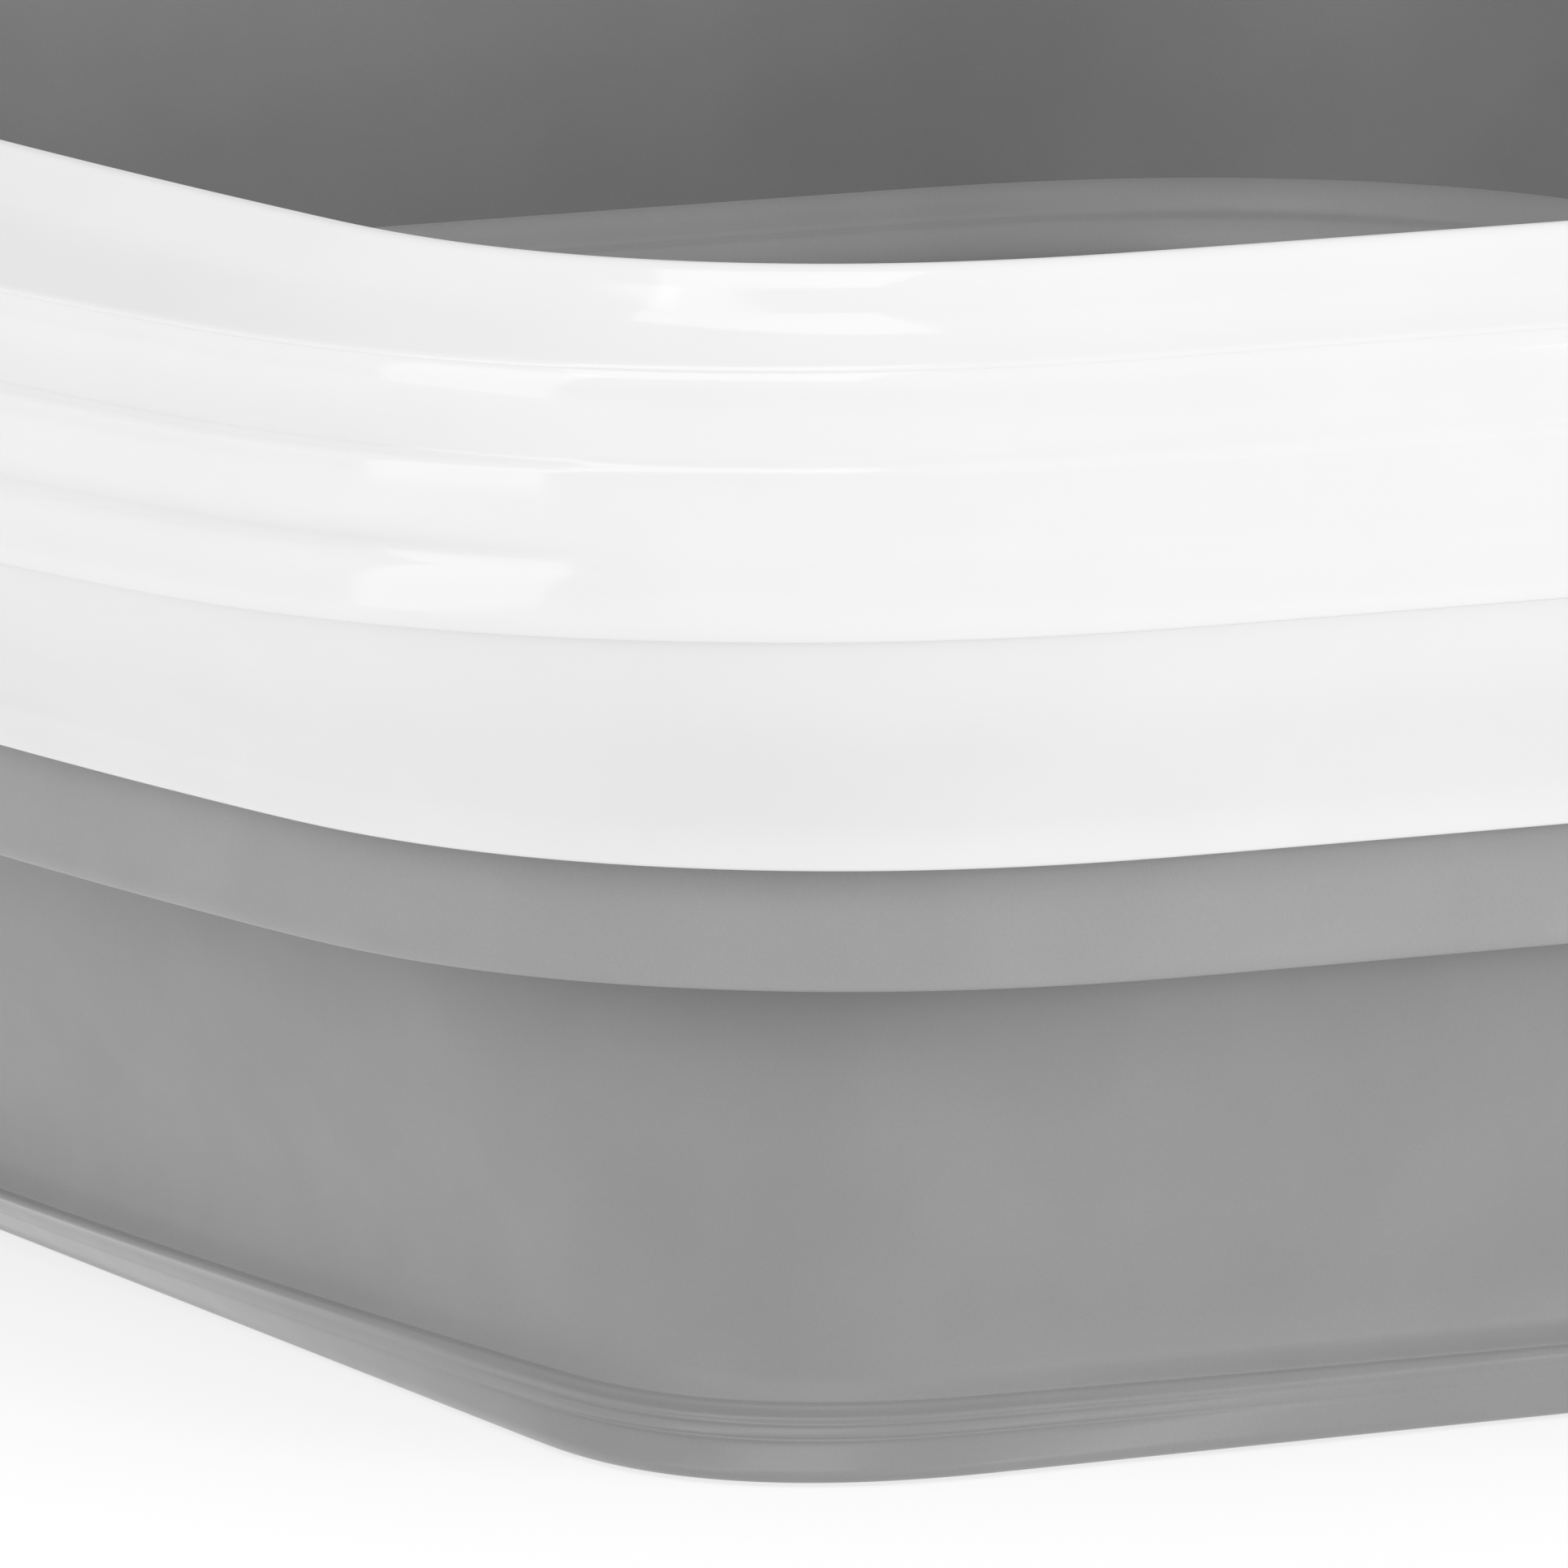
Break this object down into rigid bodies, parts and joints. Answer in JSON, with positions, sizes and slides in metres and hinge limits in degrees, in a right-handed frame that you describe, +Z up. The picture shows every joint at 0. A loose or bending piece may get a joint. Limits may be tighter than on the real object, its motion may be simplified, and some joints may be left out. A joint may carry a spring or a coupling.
{
  "type": "pet bathtub",
  "caption": "Folding rectangular basin for washing a pet: a hollow rim slides down over soft stepped walls onto a rigid base with a drain plug.",
  "frame": {"origin": "on the floor, under the middle of the tub", "axes": "+Z up, X along the tub's long side, Y along its short side"},
  "size_m": [0.677, 0.6194, 0.2],
  "materials": {
    "rim": "glossy white polypropylene",
    "soft_wall": "satin grey thermoplastic rubber",
    "base": "satin grey polypropylene",
    "pads": "matt dark grey rubber",
    "drain": "white moulded plastic",
    "plug": "satin grey rubber"
  },
  "bodies": {
    "base": {"foot_ring": "base", "floor_panel": "base", "foot_pad_1": "pads", "foot_pad_2": "pads", "foot_pad_3": "pads", "foot_pad_4": "pads", "lower_wall": "soft_wall", "fold_ring": "soft_wall", "drain_gasket": "pads", "drain_seat": "drain", "drain_nut": "drain"},
    "rim": {"rim_cap": "rim", "bumper_band": "rim", "frame_collar": "rim", "frame_core": "rim", "upper_wall": "soft_wall"},
    "plug": {"drain_plug": "plug"}
  },
  "joints": [
    {"name": "rim_fold", "type": "slide", "parent": "base", "child": "rim", "axis": [0, 0, 1], "range_m": [-0.08, 0], "deforming": ["upper_wall"]},
    {"name": "plug_lift", "type": "slide", "parent": "base", "child": "plug", "axis": [0, 0, 1], "range_m": [0, 0.06]}
  ]
}
